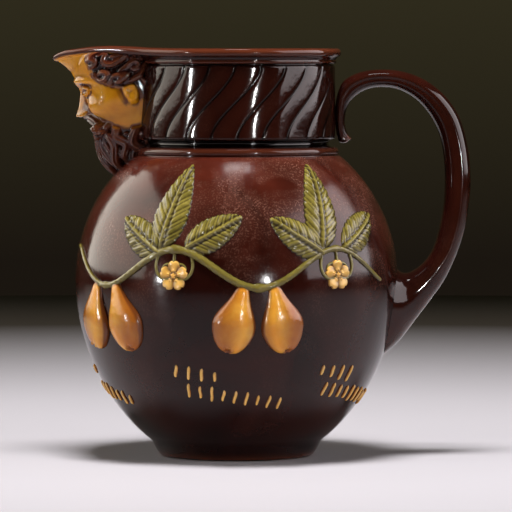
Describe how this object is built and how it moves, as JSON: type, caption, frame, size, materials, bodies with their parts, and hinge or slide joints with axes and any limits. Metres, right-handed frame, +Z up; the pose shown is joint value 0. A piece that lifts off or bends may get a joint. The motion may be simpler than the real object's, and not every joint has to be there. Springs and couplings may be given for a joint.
{
  "type": "stoneware water jug",
  "caption": "Round-bellied glazed stoneware water jug with a spiral-lobed neck, a bearded mask under the pouring lip, a looped handle and a garland in relief.",
  "frame": {"origin": "middle of the flat underside, on the axis of the belly", "axes": "+Z up the axis of the belly, +X towards the handle, -X towards the pouring lip and mask"},
  "size_m": [0.2056, 0.166, 0.2012],
  "materials": {
    "brown_glaze": "glossy treacle-brown salt glaze, worn reddish on the edges"
  },
  "bodies": {
    "root": {"jug": "brown_glaze"}
  },
  "joints": []
}
